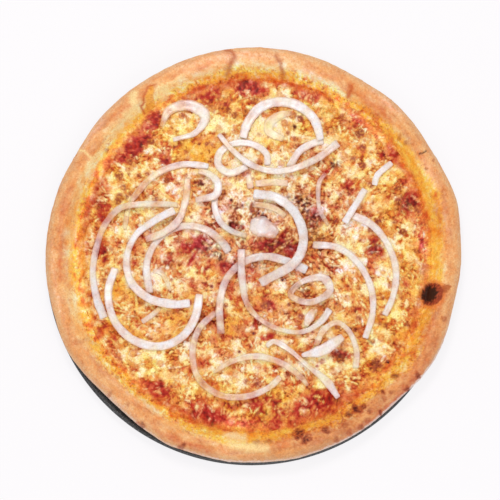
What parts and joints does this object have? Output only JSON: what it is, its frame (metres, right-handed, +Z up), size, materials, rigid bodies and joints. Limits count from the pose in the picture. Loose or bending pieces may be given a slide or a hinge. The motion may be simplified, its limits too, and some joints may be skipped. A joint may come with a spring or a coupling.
{
  "type": "onion pizza on a plate",
  "caption": "Round baked pizza with an uneven browned rim, red sauce, melted cheese and pale onion strips, lying in a dark shallow plate with a low lip.",
  "frame": {"origin": "bottom centre of the whole's box, on the plane that the plate's foot stands on", "axes": "+Z up through the pizza; +X to the right and +Y away from a viewer who looks down on it as in the picture"},
  "size_m": [0.3084, 0.3116, 0.0261],
  "materials": {
    "plate_glaze": null,
    "baked_dough": "matt baked dough, browned unevenly",
    "tomato_sauce": "moist, slightly glossy",
    "melted_cheese": "oily melted cheese with browned spots",
    "onion": "moist, slightly see-through"
  },
  "bodies": {
    "root": {"plate": "plate_glaze", "crust": "baked_dough", "sauce": "tomato_sauce", "cheese": "melted_cheese", "onion_sunk_crescent": "onion", "onion_pale_chunk": "onion", "onion_sunk_bar": "onion", "onion_sunk_stub": "onion", "onion_under_arc": "onion", "onion_right_thread": "onion", "onion_left_hook": "onion", "onion_pink_sliver": "onion", "onion_upper_left_arc": "onion", "onion_bottom_ring": "onion", "onion_bottom_arch": "onion", "onion_centre_left_arc": "onion", "onion_far_left_arc": "onion", "onion_centre_hook": "onion", "onion_small_hook": "onion", "onion_small_ring": "onion", "onion_cross_stick": "onion", "onion_top_ring": "onion", "onion_upper_arc": "onion", "onion_pink_arc": "onion", "onion_left_arc": "onion", "onion_lower_left_arc": "onion", "onion_centre_arc": "onion", "onion_lower_right_loop": "onion", "onion_long_curl": "onion", "onion_right_centre_arc": "onion", "onion_right_outer_arc": "onion", "onion_right_stick": "onion", "onion_far_right_stick": "onion", "onion_right_inner_arc": "onion", "onion_pink_loop": "onion", "onion_leaf": "onion", "onion_lens": "onion", "onion_wavy_strip": "onion", "onion_teardrop": "onion"}
  },
  "joints": []
}
